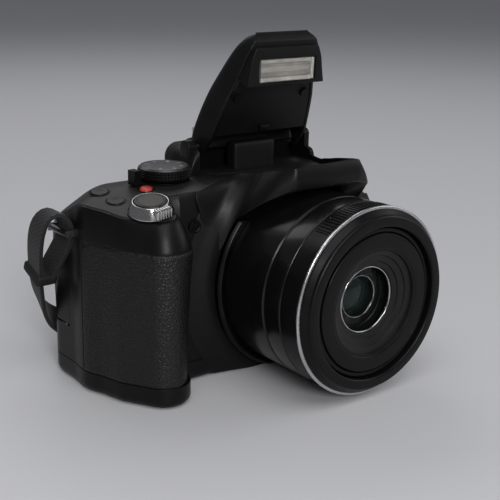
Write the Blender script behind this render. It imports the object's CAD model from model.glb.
# Bridge camera with a raised flash: the looks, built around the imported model.
# Lengths are millimetres where no note says metres.
import math
import bmesh
import bpy
import numpy as np
from mathutils import Matrix, Vector


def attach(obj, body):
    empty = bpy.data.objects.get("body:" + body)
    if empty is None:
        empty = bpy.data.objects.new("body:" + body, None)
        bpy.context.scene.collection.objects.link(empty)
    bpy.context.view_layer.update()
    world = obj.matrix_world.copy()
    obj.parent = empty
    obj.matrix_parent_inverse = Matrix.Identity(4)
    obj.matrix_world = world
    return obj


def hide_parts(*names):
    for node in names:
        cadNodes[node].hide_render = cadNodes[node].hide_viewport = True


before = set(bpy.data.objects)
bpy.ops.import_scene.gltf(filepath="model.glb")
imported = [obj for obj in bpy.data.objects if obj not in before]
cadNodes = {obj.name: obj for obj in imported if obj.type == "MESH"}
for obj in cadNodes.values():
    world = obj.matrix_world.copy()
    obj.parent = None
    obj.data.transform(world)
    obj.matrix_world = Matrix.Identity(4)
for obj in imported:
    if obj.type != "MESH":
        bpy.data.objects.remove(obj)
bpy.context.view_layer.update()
scene = bpy.context.scene
scene.view_settings.view_transform = "Standard"
mm = 0.001
lensX = 16.7
lensZ = 36.7
mergeReach = 2e-6  # doubles this close, in metres, are merged
print("frame loaded:", len(cadNodes), "nodes")


# Camera: forward is the compass turn and the downward tilt, then a small roll about it
viewSet = {"place": (-232.7, -297.7, 160.7), "turn": 38.51, "tilt": 16.99, "roll": 1.2, "lens": 72.92,
           "sensor": 36, "clip": 0.01}


def addCamera(cfg):
    a, e, r = np.radians([cfg["turn"], cfg["tilt"], cfg["roll"]])
    forward = np.array([math.sin(a) * math.cos(e), math.cos(a) * math.cos(e), -math.sin(e)])
    across = np.array([math.cos(a), -math.sin(a), 0.0])
    above = np.cross(across, forward)
    camX = across * math.cos(r) + above * math.sin(r)
    camY = above * math.cos(r) - across * math.sin(r)
    cols = np.stack([camX, camY, -forward, np.array(cfg["place"]) * mm], 1)
    data = bpy.data.cameras.new("photoCamera")
    data.sensor_width = cfg["sensor"]
    data.lens = cfg["lens"]
    data.clip_start = cfg["clip"]
    obj = bpy.data.objects.new("photoCamera", data)
    obj.matrix_world = Matrix(np.vstack([cols, [0, 0, 0, 1]]).tolist())
    scene.collection.objects.link(obj)
    scene.camera = obj


addCamera(viewSet)


# Helpers for surfaces

# Rows and columns of points become quads; ring joins the last column to the first
def quadsOf(rows, cols, ring):
    r, c = np.meshgrid(np.arange(rows - 1), np.arange(cols if ring else cols - 1), indexing="ij")
    d = (c + 1) % cols
    return np.stack([r * cols + c, r * cols + d, (r + 1) * cols + d, (r + 1) * cols + c], -1).reshape(-1, 4)


# A curve through points: Catmull-Rom pieces, read at even steps of its length
def splineThrough(points, count):
    p = np.asarray(points, float)
    p = np.vstack([2 * p[0] - p[1], p, 2 * p[-1] - p[-2]])
    t = np.linspace(0, 1, 25)[:-1][None, :, None]
    a, b, c, d = (q[:, None, :] for q in (p[:-3], p[1:-2], p[2:-1], p[3:]))
    square = (2 * a - 5 * b + 4 * c - d) * t ** 2
    cube = (3 * b - a - 3 * c + d) * t ** 3
    dense = 0.5 * (2 * b + (c - a) * t + square + cube)
    dense = np.vstack([dense.reshape(-1, p.shape[1]), p[-2]])
    return evenPoints(dense, count)


# Length along a polyline up to each of its points
def lengthsOf(p):
    return np.concatenate([[0], np.cumsum(np.linalg.norm(np.diff(p[:, :3], axis=0), axis=1))])


# The same polyline with its points at even steps of its length
def evenPoints(p, count):
    run = lengthsOf(p)
    at = np.linspace(0, run[-1], count)
    return np.stack([np.interp(at, run, p[:, k]) for k in range(p.shape[1])], 1)


# Each inner corner of a polyline becomes a short quadratic between points cut back along its two sides
def softCorners(points, radius, steps=5):
    p = np.asarray(points, float)
    before = p[:-2] - p[1:-1]
    after = p[2:] - p[1:-1]
    lenB = np.linalg.norm(before, axis=1, keepdims=True)
    lenA = np.linalg.norm(after, axis=1, keepdims=True)
    cut = np.minimum(np.asarray(radius, float).reshape(-1, 1), 0.45 * np.minimum(lenB, lenA))
    s = p[1:-1] + before / lenB * cut
    e = p[1:-1] + after / lenA * cut
    t = np.linspace(0, 1, steps)[None, :, None]
    q = (1 - t) ** 2 * s[:, None] + 2 * t * (1 - t) * p[1:-1][:, None] + t ** 2 * e[:, None]
    return np.vstack([p[:1], q.reshape(-1, p.shape[1]), p[-1:]])


# Sheets of points, in millimetres, become one mesh: doubles merged, faces turned away from a point inside
def addPiece(name, sheets, body, slotName, material, inside=None, uv=None, crease=38, replaces=()):
    points, quads, start = [], [], 0
    for grid, ring in sheets:
        rows, cols = grid.shape[:2]
        points.append(grid.reshape(-1, 3))
        quads.append(quadsOf(rows, cols, ring) + start)
        start += rows * cols
    points = np.vstack(points) * mm
    mesh = bpy.data.meshes.new(name)
    mesh.from_pydata(points.tolist(), [], np.vstack(quads).tolist())
    if uv is not None:
        at = np.zeros(len(mesh.loops), np.int32)
        mesh.loops.foreach_get("vertex_index", at)
        mesh.uv_layers.new(name="along").data.foreach_set("uv", uv[at].astype(np.float32).ravel())
    bm = bmesh.new()
    bm.from_mesh(mesh)
    bmesh.ops.remove_doubles(bm, verts=bm.verts, dist=mergeReach)
    bmesh.ops.dissolve_degenerate(bm, dist=1e-7, edges=bm.edges)
    bmesh.ops.recalc_face_normals(bm, faces=bm.faces)
    bm.to_mesh(mesh)
    bm.free()
    if inside is not None:
        n = len(mesh.polygons)
        normal, centre, area = np.zeros(n * 3), np.zeros(n * 3), np.zeros(n)
        mesh.polygons.foreach_get("normal", normal)
        mesh.polygons.foreach_get("center", centre)
        mesh.polygons.foreach_get("area", area)
        away = centre.reshape(-1, 3) - np.array(inside) * mm
        if ((normal.reshape(-1, 3) * away).sum(1) * area).sum() < 0:
            mesh.flip_normals()
    mesh.polygons.foreach_set("use_smooth", np.ones(len(mesh.polygons), bool))
    mesh.set_sharp_from_angle(angle=math.radians(crease))
    mesh.materials.append(material)
    obj = bpy.data.objects.new(name, mesh)
    scene.collection.objects.link(obj)
    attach(obj, body)
    if replaces:
        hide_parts(*replaces)
    return obj


# A profile of (radius, forward) turned about the lens axis; wave adds to the radius by angle
def lensTurn(profile, segs, wave=None):
    p = np.asarray(profile, float)
    a = np.linspace(0, 2 * np.pi, segs, endpoint=False)
    r = p[:, :1] + (0 * a if wave is None else wave(p[:, 1:2], a[None, :]))
    return np.stack([lensX + r * np.cos(a), np.broadcast_to(-p[:, 1:2], r.shape), lensZ + r * np.sin(a)], -1)


# A profile of (radius, height) turned about an axis at a place; wave adds to the radius by angle
def axisTurn(profile, place, axis, segs, wave=None):
    p = np.asarray(profile, float)
    w = np.asarray(axis, float) / np.linalg.norm(axis)
    u = np.cross([0.0, 1.0, 0.0] if abs(w[1]) < 0.9 else [1.0, 0.0, 0.0], w)
    u /= np.linalg.norm(u)
    v = np.cross(w, u)
    a = np.linspace(0, 2 * np.pi, segs, endpoint=False)
    r = p[:, :1] + (0 * a if wave is None else wave(p[:, 1:2], a[None, :]))
    return (np.asarray(place, float) + (r * np.cos(a))[..., None] * u + (r * np.sin(a))[..., None] * v
            + (p[:, 1:2] + 0 * a)[..., None] * w)


# A block with rounded edges: a cube's six grids pulled in by the radius and pushed out along the normal
def roundBlock(low, high, radius, turn=None, steps=9):
    low, high = np.asarray(low, float), np.asarray(high, float)
    s = np.tan(np.linspace(-1, 1, steps) * np.pi / 4)
    s = np.concatenate([s[: steps // 2], [0.0], s[steps // 2 + 1:]])
    a, b = np.meshgrid(s, s, indexing="ij")
    one = np.ones_like(a)
    sides = [(a, b, one), (a, b, -one), (a, one, b), (a, -one, b), (one, a, b), (-one, a, b)]
    half, mid = (high - low) / 2, (high + low) / 2
    radius = min(radius, half.min() * 0.98)
    sheets = []
    for side in sides:
        unit = np.stack(side, -1)
        ball = unit / np.linalg.norm(unit, axis=-1, keepdims=True)
        p = np.sign(np.round(unit, 6)) * (half - radius) * np.minimum(1, np.abs(unit) * 4) + ball * radius
        sheets.append((mid + p if turn is None else turn(mid + p), False))
    return sheets


# Materials: each is noise, cells or waves on the piece's own coordinates, in metres

def startMaterial(name, uvMap=None):
    mat = bpy.data.materials.new(name)
    mat.use_nodes = True
    tree = mat.node_tree
    shader = tree.nodes["Principled BSDF"]
    if uvMap:
        coord = tree.nodes.new("ShaderNodeUVMap")
        coord.uv_map = uvMap
        return mat, tree, shader, coord.outputs["UV"]
    return mat, tree, shader, tree.nodes.new("ShaderNodeTexCoord").outputs["Object"]


# Fixed values of a node's inputs, by name
def setInputs(node, values):
    for key, value in values.items():
        node.inputs[key].default_value = value


def noiseOf(tree, coord, scale, detail=3.0, rough=0.55):
    node = tree.nodes.new("ShaderNodeTexNoise")
    setInputs(node, {"Scale": scale, "Detail": detail, "Roughness": rough})
    tree.links.new(coord, node.inputs["Vector"])
    return node.outputs["Fac"]


# Two colours, blended by a value between two places
def rampOf(tree, value, stops):
    node = tree.nodes.new("ShaderNodeValToRGB")
    for k, (at, colour) in enumerate(stops):
        element = node.color_ramp.elements[k]
        element.position = at
        element.color = (*colour, 1)
    tree.links.new(value, node.inputs["Fac"])
    return node.outputs["Color"]


def rangeOf(tree, value, low, high, fromLow=0.3, fromHigh=0.7):
    node = tree.nodes.new("ShaderNodeMapRange")
    setInputs(node, {"From Min": fromLow, "From Max": fromHigh, "To Min": low, "To Max": high})
    tree.links.new(value, node.inputs["Value"])
    return node.outputs["Result"]


def mathOf(tree, operation, a, b):
    node = tree.nodes.new("ShaderNodeMath")
    node.operation = operation
    for k, value in enumerate((a, b)):
        if isinstance(value, (int, float)):
            node.inputs[k].default_value = value
        else:
            tree.links.new(value, node.inputs[k])
    return node.outputs[0]


def bumpOf(tree, shader, height, strength, distance):
    node = tree.nodes.new("ShaderNodeBump")
    setInputs(node, {"Strength": strength, "Distance": distance})
    tree.links.new(height, node.inputs["Height"])
    tree.links.new(node.outputs["Normal"], shader.inputs["Normal"])


# Colour and roughness, each from a value that varies over the piece
def paint(tree, shader, colour, rough):
    tree.links.new(colour, shader.inputs["Base Color"])
    tree.links.new(rough, shader.inputs["Roughness"])


# A colour made darker or lighter
def scaled(colour, by):
    return tuple(min(1, by * c) for c in colour)


# Moulded plastic: fine spark-eroded grain, slow tone changes, roughness that follows the grain
def mouldedPlastic(name, dark, light, rough, specular=0.5, grain=2600, depth=0.25):
    mat, tree, shader, coord = startMaterial(name)
    fine = noiseOf(tree, coord, grain, 2.0)
    slow = noiseOf(tree, coord, 55, 4.0)
    tone = rampOf(tree, slow, [(0.32, dark), (0.7, light)])
    paint(tree, shader, tone, rangeOf(tree, fine, rough - 0.05, rough + 0.07))
    setInputs(shader, {"Specular IOR Level": specular})
    bumpOf(tree, shader, fine, depth, 0.00006)
    return mat


# Grip rubber: pebbled cells like grained leather, a little dust in the grooves
def pebbledRubber(name, dark, light, rough, cells=850, depth=0.6):
    mat, tree, shader, coord = startMaterial(name)
    warp = tree.nodes.new("ShaderNodeTexNoise")
    setInputs(warp, {"Scale": cells * 0.7})
    tree.links.new(coord, warp.inputs["Vector"])
    mix = tree.nodes.new("ShaderNodeVectorMath")
    mix.operation = "MULTIPLY_ADD"
    mix.inputs[1].default_value = (0.0009, 0.0009, 0.0009)
    tree.links.new(warp.outputs["Color"], mix.inputs[0])
    tree.links.new(coord, mix.inputs[2])
    cell = tree.nodes.new("ShaderNodeTexVoronoi")
    cell.feature = "DISTANCE_TO_EDGE"
    setInputs(cell, {"Scale": cells})
    tree.links.new(mix.outputs[0], cell.inputs["Vector"])
    dome = rangeOf(tree, cell.outputs["Distance"], 0.0, 1.0, 0.0, 0.28)
    fine = noiseOf(tree, coord, 4200, 2.0)
    height = mathOf(tree, "ADD", dome, mathOf(tree, "MULTIPLY", fine, 0.35))
    tone = rampOf(tree, height, [(0.15, dark), (0.9, light)])
    paint(tree, shader, tone, rangeOf(tree, height, rough + 0.12, rough - 0.08, 0.1, 1.2))
    setInputs(shader, {"Specular IOR Level": 0.36})
    bumpOf(tree, shader, height, depth, 0.00022)
    return mat


# Gloss or satin lacquer: nearly smooth, with faint orange peel and handling marks in its roughness
def lacquer(name, colour, rough, specular=0.5, coat=0.0, peel=0.05):
    mat, tree, shader, coord = startMaterial(name)
    slow = noiseOf(tree, coord, 140, 5.0)
    tone = rampOf(tree, slow, [(0.3, scaled(colour, 0.8)), (0.7, scaled(colour, 1.15))])
    paint(tree, shader, tone, rangeOf(tree, slow, rough * 0.8, rough * 1.25))
    setInputs(shader, {"Specular IOR Level": specular, "Coat Weight": coat, "Coat Roughness": 0.08})
    bumpOf(tree, shader, noiseOf(tree, coord, 900, 1.0), peel, 0.00004)
    return mat


# Metal: fine turned or rolled lines stretched along one axis, with a varying polish
def rolledMetal(name, dark, light, rough, stretch=(1, 1, 14), lines=900):
    mat, tree, shader, coord = startMaterial(name)
    mapping = tree.nodes.new("ShaderNodeMapping")
    setInputs(mapping, {"Scale": stretch})
    tree.links.new(coord, mapping.inputs["Vector"])
    fine = noiseOf(tree, mapping.outputs["Vector"], lines, 2.0)
    slow = noiseOf(tree, coord, 90, 3.0)
    tone = rampOf(tree, slow, [(0.3, dark), (0.7, light)])
    paint(tree, shader, tone, rangeOf(tree, fine, rough - 0.06, rough + 0.08))
    setInputs(shader, {"Metallic": 1.0})
    bumpOf(tree, shader, fine, 0.12, 0.00002)
    return mat


# Glass: a tint that dust lightens a little, a smooth face, and as much light let through as asked
def dustyGlass(name, tint, clear=0.0, alpha=1.0, specular=0.5):
    mat, tree, shader, coord = startMaterial(name)
    dust = noiseOf(tree, coord, 60, 3.0)
    tone = rampOf(tree, dust, [(0.35, tint), (0.8, scaled(tint, 1.03))])
    paint(tree, shader, tone, rangeOf(tree, dust, 0.0, 0.02, 0.45, 0.8))
    setInputs(shader, {"Transmission Weight": clear, "IOR": 1.5, "Alpha": alpha})
    setInputs(shader, {"Specular IOR Level": specular})
    return mat


# Ribbed clear plastic of the flash window: a wave of fine prisms along X
def prismPlastic(name, tint):
    mat, tree, shader, coord = startMaterial(name)
    wave = tree.nodes.new("ShaderNodeTexWave")
    wave.bands_direction = "X"
    setInputs(wave, {"Scale": 300, "Distortion": 0.0})
    tree.links.new(coord, wave.inputs["Vector"])
    slow = noiseOf(tree, coord, 300, 3.0)
    tone = rampOf(tree, slow, [(0.3, scaled(tint, 0.92)), (0.7, tint)])
    paint(tree, shader, tone, rangeOf(tree, slow, 0.03, 0.08))
    setInputs(shader, {"Transmission Weight": 0.94})
    bumpOf(tree, shader, wave.outputs["Fac"], 0.3, 0.0001)
    return mat


# Woven webbing: warp ribs across the width and picks along the length, on the strip's own map
def wovenWebbing(name, dark, light):
    mat, tree, shader, coord = startMaterial(name, "along")
    parts = tree.nodes.new("ShaderNodeSeparateXYZ")
    tree.links.new(coord, parts.inputs[0])
    along = mathOf(tree, "MULTIPLY", parts.outputs[0], 3600.0)
    across = mathOf(tree, "MULTIPLY", parts.outputs[1], 6300.0)
    wave = mathOf(tree, "SINE", mathOf(tree, "MULTIPLY", across, 0.5), 0.0)
    side = mathOf(tree, "SIGN", wave, 0.0)
    pick = mathOf(tree, "SINE", mathOf(tree, "ADD", along, mathOf(tree, "MULTIPLY", side, 1.57)), 0.0)
    raised = mathOf(tree, "ADD", mathOf(tree, "MULTIPLY", pick, 0.5), 0.5)
    weave = mathOf(tree, "MULTIPLY", raised, mathOf(tree, "ABSOLUTE", wave, 0.0))
    fuzz = noiseOf(tree, coord, 5200, 3.0)
    height = mathOf(tree, "ADD", weave, mathOf(tree, "MULTIPLY", fuzz, 0.4))
    tone = rampOf(tree, height, [(0.15, dark), (1.0, light)])
    paint(tree, shader, tone, rangeOf(tree, fuzz, 0.62, 0.85))
    setInputs(shader, {"Sheen Weight": 0.08, "Sheen Roughness": 0.4})
    bumpOf(tree, shader, height, 0.6, 0.0002)
    return mat


def grey(level):
    return (level, level, level)


bodyPlastic = mouldedPlastic("bodyPlastic", (0.0032, 0.0031, 0.003), (0.0054, 0.0053, 0.005), 0.36, 0.17)
deckPlastic = mouldedPlastic("deckPlastic", (0.0075, 0.0075, 0.0073), (0.012, 0.0118, 0.0114), 0.48, 0.28)
flashPlastic = mouldedPlastic("flashPlastic", (0.0034, 0.0034, 0.0035), (0.0056, 0.0056, 0.0057), 0.4, 0.17)
panelPlastic = mouldedPlastic("panelPlastic", (0.003, 0.003, 0.0031), (0.005, 0.005, 0.0051), 0.5, 0.17,
                              grain=1900, depth=0.4)
wellPlastic = mouldedPlastic("wellPlastic", grey(0.004), grey(0.0065), 0.5, 0.22)
buttonPlastic = mouldedPlastic("buttonPlastic", grey(0.004), grey(0.0065), 0.4, 0.2)
gripRubber = pebbledRubber("gripRubber", grey(0.0016), (0.005, 0.0049, 0.0048), 0.42)
softRubber = mouldedPlastic("softRubber", grey(0.006), grey(0.011), 0.66, 0.28, grain=3200, depth=0.35)
barrelGloss = lacquer("barrelGloss", (0.0045, 0.0045, 0.0047), 0.22, 0.24, coat=0.1, peel=0.012)
satinBlack = lacquer("satinBlack", (0.0035, 0.0035, 0.0036), 0.32, 0.15)
innerBlack = lacquer("innerBlack", grey(0.004), 0.5, 0.15, peel=0.1)
coneBlack = lacquer("coneBlack", (0.008, 0.008, 0.0082), 0.42, 0.25, peel=0.1)
silverTrim = rolledMetal("silverTrim", (0.42, 0.42, 0.43), (0.54, 0.54, 0.55), 0.24, (1, 14, 1))
chromeTrim = rolledMetal("chromeTrim", (0.4, 0.39, 0.38), (0.52, 0.51, 0.5), 0.12, (1, 1, 10))
footMetal = rolledMetal("footMetal", (0.012, 0.012, 0.0125), (0.02, 0.02, 0.021), 0.3, (1, 14, 1))
lugMetal = rolledMetal("lugMetal", grey(0.1), grey(0.17), 0.3)
shutterMetal = rolledMetal("shutterMetal", (0.034, 0.033, 0.031), (0.055, 0.053, 0.05), 0.42, (1, 12, 1))
dialMetal = rolledMetal("dialMetal", (0.085, 0.085, 0.088), (0.14, 0.14, 0.144), 0.34, (1, 12, 1))
darkMetal = rolledMetal("darkMetal", (0.05, 0.05, 0.052), (0.085, 0.085, 0.088), 0.32, (1, 14, 1))
steelPlain = rolledMetal("steelPlain", (0.48, 0.48, 0.49), (0.6, 0.6, 0.61), 0.28)
reflectorFoil = rolledMetal("reflectorFoil", (0.5, 0.48, 0.45), (0.86, 0.84, 0.79), 0.14, (14, 1, 1))
lensGlass = dustyGlass("lensGlass", (0.004, 0.007, 0.0055), alpha=0.12, specular=0.0)
bowlBlack = lacquer("bowlBlack", (0.006, 0.0075, 0.0068), 0.3, 0.4, peel=0.0)
secondGlass = dustyGlass("secondGlass", (0.012, 0.022, 0.02))
finderGlass = dustyGlass("finderGlass", (0.006, 0.007, 0.009))
lampDark = lacquer("lampDark", (0.0025, 0.0025, 0.0026), 0.25, 0.12, peel=0.01)
tubeGlass = dustyGlass("tubeGlass", (0.95, 0.95, 0.93), clear=0.6)
screenGlass = lacquer("screenGlass", (0.009, 0.0095, 0.011), 0.09, coat=1.0, peel=0.01)
windowPlastic = prismPlastic("windowPlastic", (0.95, 0.94, 0.9))
recordRed = mouldedPlastic("recordRed", (0.36, 0.022, 0.014), (0.5, 0.035, 0.022), 0.36)
boardGreen = mouldedPlastic("boardGreen", (0.014, 0.06, 0.03), (0.02, 0.09, 0.045), 0.4, grain=1500)
cellLabel = mouldedPlastic("cellLabel", (0.035, 0.036, 0.04), (0.055, 0.056, 0.06), 0.42)
printWhite = mouldedPlastic("printWhite", (0.62, 0.62, 0.6), (0.72, 0.72, 0.7), 0.5)
webbing = wovenWebbing("webbing", (0.003, 0.003, 0.0032), (0.009, 0.009, 0.0095))
print("materials made:", len(bpy.data.materials))

# Body, slot and material of the pieces that share them
bodySkin = ("camera_body", "body_plastic", bodyPlastic)
bodySatin = ("camera_body", "satin_black", satinBlack)
bodyRubber = ("camera_body", "soft_rubber", softRubber)
innerSatin = ("zoom_inner", "satin_black", satinBlack)
flashPanel = ("flash", "body_plastic", panelPlastic)


# Floor and light, in metres: a pale floor, a pale surround and four soft lamps
stageSet = {"floor": (0.60, 0.60, 0.615), "half": 4.0, "below": 0.0002,
            "surround": (0.50, 0.51, 0.56), "level": 0.3}
lampSet = [
    {"name": "keyLamp", "place": (-0.2, -0.5, 1.0), "size": (0.9, 0.7), "power": 4.6},
    {"name": "backLamp", "place": (0.15, 0.75, 0.8), "size": (1.0, 0.5), "power": 2.6},
    {"name": "sideLamp", "place": (0.95, -0.45, 0.55), "size": (0.7, 0.7), "power": 2.6},
    {"name": "frontLamp", "place": (-0.42, -0.95, 0.5), "size": (0.3, 0.3), "power": 6.0}]


def addStage(cfg, lamps):
    mat, tree, shader, coord = startMaterial("paleFloor")
    slow = noiseOf(tree, coord, 3.0, 3.0)
    tone = rampOf(tree, slow, [(0.3, scaled(cfg["floor"], 0.985)), (0.7, cfg["floor"])])
    tree.links.new(tone, shader.inputs["Base Color"])
    setInputs(shader, {"Roughness": 0.5})
    side = np.array([-cfg["half"], cfg["half"]])
    x, y = np.meshgrid(side, side, indexing="ij")
    grid = np.stack([x, y, 0 * x - cfg["below"]], -1)
    mesh = bpy.data.meshes.new("floor")
    mesh.from_pydata(grid.reshape(-1, 3).tolist(), [], [[0, 2, 3, 1]])
    mesh.materials.append(mat)
    floor = bpy.data.objects.new("floor", mesh)
    scene.collection.objects.link(floor)
    world = bpy.data.worlds.new("surround")
    world.use_nodes = True
    setInputs(world.node_tree.nodes["Background"], {"Color": (*cfg["surround"], 1), "Strength": cfg["level"]})
    scene.world = world
    for lamp in lamps:
        data = bpy.data.lights.new(lamp["name"], "AREA")
        data.shape = "RECTANGLE"
        data.size, data.size_y = lamp["size"]
        data.energy = lamp["power"]
        obj = bpy.data.objects.new(lamp["name"], data)
        obj.location = lamp["place"]
        obj.rotation_euler = (-Vector(lamp["place"])).to_track_quat("-Z", "Y").to_euler()
        scene.collection.objects.link(obj)


addStage(stageSet, lampSet)
print("stage and lamps placed")


# Strap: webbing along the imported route, from one lug through the roll behind the camera to the other lug
strapSet = {"side": 65.1, "lugY": 18, "roll": (30, 86), "rollZ": 5, "tableY": 50, "start": 20, "pitch": 8,
            "turnsIn": 2, "turnsOut": 2.25, "perTurn": 30, "bendSteps": 15, "bendAngle": 12, "count": 620,
            "section": [(5, 0.45), (4.65, 0.8), (-4.65, 0.8), (-5, 0.45), (-5, -0.45), (-4.65, -0.8),
                        (4.65, -0.8), (5, -0.45)]}
loopPath = np.array([[4.4, 10, 41.5], [3.4, 7.5, 46], [2.2, 3.6, 52], [1.5, 0.5, 57], [1.4, 0, 60],
                     [1.8, 0, 63], [3.6, 0.3, 65.6], [6.2, 1, 66.4], [8.8, 2.2, 64.8], [10.4, 3.6, 61],
                     [10.8, 5.2, 56], [10.2, 7.4, 50], [9, 10, 44], [7.4, 13, 38]])
loopLean = np.array([0.4, 0.4, 0.4, 0.1, 0, 0, 0, 0, 0, 0.1, 0.2, 0.3, 0.4, 0.5])
gripTail = np.array([[-69.9, 35, 31], [-66.1, 40, 24], [-60.1, 45, 17], [-52.1, 48.5, 11], [-43.1, 50, 7],
                     [-33.1, 50, 5.2]])
gripTailAcross = np.array([[0, 1, 0.7], [0, 0.8, 0.9], [0, 0.5, 1], [0, 0.25, 1], [0, 0.1, 1], [0, 0, 1]])
lensTail = np.array([[71.5, 36, 30], [70.5, 43, 22], [69.6, 51, 14.5], [68.8, 59, 9], [68.2, 68, 6],
                     [68, 76, 5.1], [68, 86, 5]])
lensTailAcross = np.array([[0, 1, 0.8], [0, 0.9, 1], [0, 0.7, 1], [0, 0.4, 1], [0, 0.2, 1], [0, 0, 1],
                           [0, 0, 1]])
keeperSet = {"sides": [("gripKeeper", -1), ("lensKeeper", 1)], "place": (71.6, 29.2, 41.6),
             "half": (4.2, 6.2, 2.2), "round": 1.3, "lean": 21.8}
tieSet = {"loop": [(-24, 0.3), (-35.9, 0.3), (-35.9, 10.7), (-20.3, 10.7), (-20.3, 0.3), (-24, 0.3)],
          "round": 1.4, "half": 4.5, "thick": 0.5, "inside": (-28, 5)}


# The route as points with the direction across the webbing:
# loop, run, two spiral arms with an S between, run, loop
def strapRoute(cfg):
    loopAcross = np.stack([0 * loopLean, 0 * loopLean + 1, loopLean], 1)
    gripLoop = loopPath * [-1, 1, 1] + [-cfg["side"], cfg["lugY"], 0]
    lensLoop = loopPath + [cfg["side"], cfg["lugY"], 0]
    cx, cy = cfg["roll"]
    flat = np.linspace(gripTail[-1, 0], cx, 7)[1:]
    table = np.stack([flat, 0 * flat + cfg["tableY"], 0 * flat + cfg["rollZ"]], 1)

    def around(y, r, degrees):
        a = np.radians(degrees)
        return np.stack([cx + r * np.cos(a), y + r * np.sin(a), 0 * a + cfg["rollZ"]], 1)

    t = np.arange(1, cfg["turnsIn"] * cfg["perTurn"]) / cfg["perTurn"]
    armIn = around(cy, cfg["start"] + cfg["pitch"] * (cfg["turnsIn"] - t), -90 + 360 * t)
    half = cfg["start"] / 2
    bend = cfg["bendAngle"] * np.arange(cfg["bendSteps"])
    bendIn = around(cy - half, half, -90 + bend)
    bendOut = around(cy + half, half, -90 - bend)
    t = np.arange(int(cfg["turnsOut"] * cfg["perTurn"]) + 1) / cfg["perTurn"]
    armOut = around(cy, cfg["start"] + cfg["pitch"] * t, 90 - 360 * t)
    coil = np.vstack([table, armIn, bendIn, bendOut, armOut])
    points = np.vstack([gripLoop, gripTail, coil, lensTail[::-1], lensLoop[::-1]])
    across = np.vstack([loopAcross, gripTailAcross, np.tile([0.0, 0.0, 1.0], (len(coil), 1)),
                        lensTailAcross[::-1], loopAcross[::-1]])
    return splineThrough(np.hstack([points, across]), cfg["count"])


# Two rubber keepers on the loops, leaned about X
def addKeepers(cfg):
    lean = math.radians(cfg["lean"])
    c, s = math.cos(lean), math.sin(lean)
    spin = np.array([[1, 0, 0], [0, c, -s], [0, s, c]])
    half = np.array(cfg["half"])
    keepers = []
    for name, sign in cfg["sides"]:
        mid = np.array(cfg["place"]) * [sign, 1, 1]
        block = roundBlock(mid - half, mid + half, cfg["round"], lambda q: (q - mid) @ spin.T + mid)
        keepers.append(addPiece(name, block, *bodyRubber))
    return keepers


# A rubber band around the roll's side: a rounded loop, carried across, with a thickness
def addTie(cfg, roll):
    cx, cy = roll
    loop = softCorners(cfg["loop"], cfg["round"])
    v = np.linspace(-cfg["half"], cfg["half"], 9)
    band = np.stack([cx + loop[None, :, 0] + 0 * v[:, None], cy + v[:, None] + 0 * loop[None, :, 0],
                     loop[None, :, 1] + 0 * v[:, None]], -1)
    x, z = cfg["inside"]
    tie = addPiece("strapTie", [(band, False)], *bodyRubber, inside=(cx + x, cy, z))
    wall = tie.modifiers.new("thickness", "SOLIDIFY")
    wall.thickness = cfg["thick"] * mm
    wall.offset = 0
    return tie


# The section carried along the route: across it and through it, with both ends closed
def addStrap(cfg):
    route = strapRoute(cfg)
    p, w = route[:, :3], route[:, 3:]
    t = np.gradient(p, axis=0)
    t /= np.linalg.norm(t, axis=1, keepdims=True)
    a = w - t * (w * t).sum(1, keepdims=True)
    a /= np.linalg.norm(a, axis=1, keepdims=True)
    n = np.cross(t, a)
    s = np.array(cfg["section"])
    grid = p[:, None] + a[:, None] * s[None, :, :1] + n[:, None] * s[None, :, 1:]
    run = lengthsOf(p)
    ends = [np.repeat(q[:, None], len(s), 1) for q in (p[:1], p[-1:])]
    grid = np.concatenate([ends[0], grid, ends[1]])
    run = np.concatenate([run[:1], run, run[-1:]]) * mm
    uv = np.stack(np.broadcast_arrays(run[:, None], s[None, :, 0] * mm), -1).reshape(-1, 2)
    strap = addPiece("neckStrap", [(grid, True)], "camera_body", "webbing", webbing, uv=uv,
                     replaces=("strap_grip_side", "strap_roll", "strap_lens_side"))
    keepers = addKeepers(keeperSet)
    tie = addTie(tieSet, cfg["roll"])
    print("strap laid, metres:", round(float(run[-1]), 3))


addStrap(strapSet)


# Outline of the body and the grip seen from above: circles as (x, y, radius)
planSet = {"centre": (-50.0, 4.0), "fillet": 3.2, "split": 19, "deckEdge": -18.0, "seam": 62.0, "base": 8.0,
           "turnIn": 57.8, "gap": 0.1, "deckGap": 0.3}
gripRounds = np.array([[-55.1, 9, 10], [-50.3, -4.5, 11.3], [-46.1, -15, 9.5]])
bodyRounds = np.array([[-55.1, 28, 10], [55.1, 28, 10], [57.1, 0, 8], [-55.1, 9, 10], [-33.1, -5, 3]])


# Circles pulled tight together: by direction the farthest circle's own point, then straight runs between
def tightOutline(rounds, count=3000):
    a = np.linspace(0, 2 * np.pi, 1441)
    d = np.stack([np.cos(a), np.sin(a)], 1)
    k = (d @ rounds[:, :2].T + rounds[:, 2]).argmax(1)
    return evenPoints(rounds[k, :2] + d * rounds[k, 2:], count)


# Distance from a centre to an outline, by angle
def reachOf(outline, centre, angles):
    p = outline - np.asarray(centre)
    at = np.arctan2(p[:, 1], p[:, 0])
    order = np.argsort(at)
    return np.interp(angles, at[order], np.hypot(p[:, 0], p[:, 1])[order], period=2 * np.pi)


# The smaller of two values with a soft step between
def softMin(a, b, k):
    return np.minimum(a, b) - np.maximum(k - np.abs(a - b), 0) ** 2 / (4 * k)


# The larger of two values with a soft step between
def softMax(a, b, k):
    return np.maximum(a, b) + np.maximum(k - np.abs(a - b), 0) ** 2 / (4 * k)


# A smooth rise from 0 to 1
def smoothStep(s):
    return s * s * (3 - 2 * s)


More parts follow.
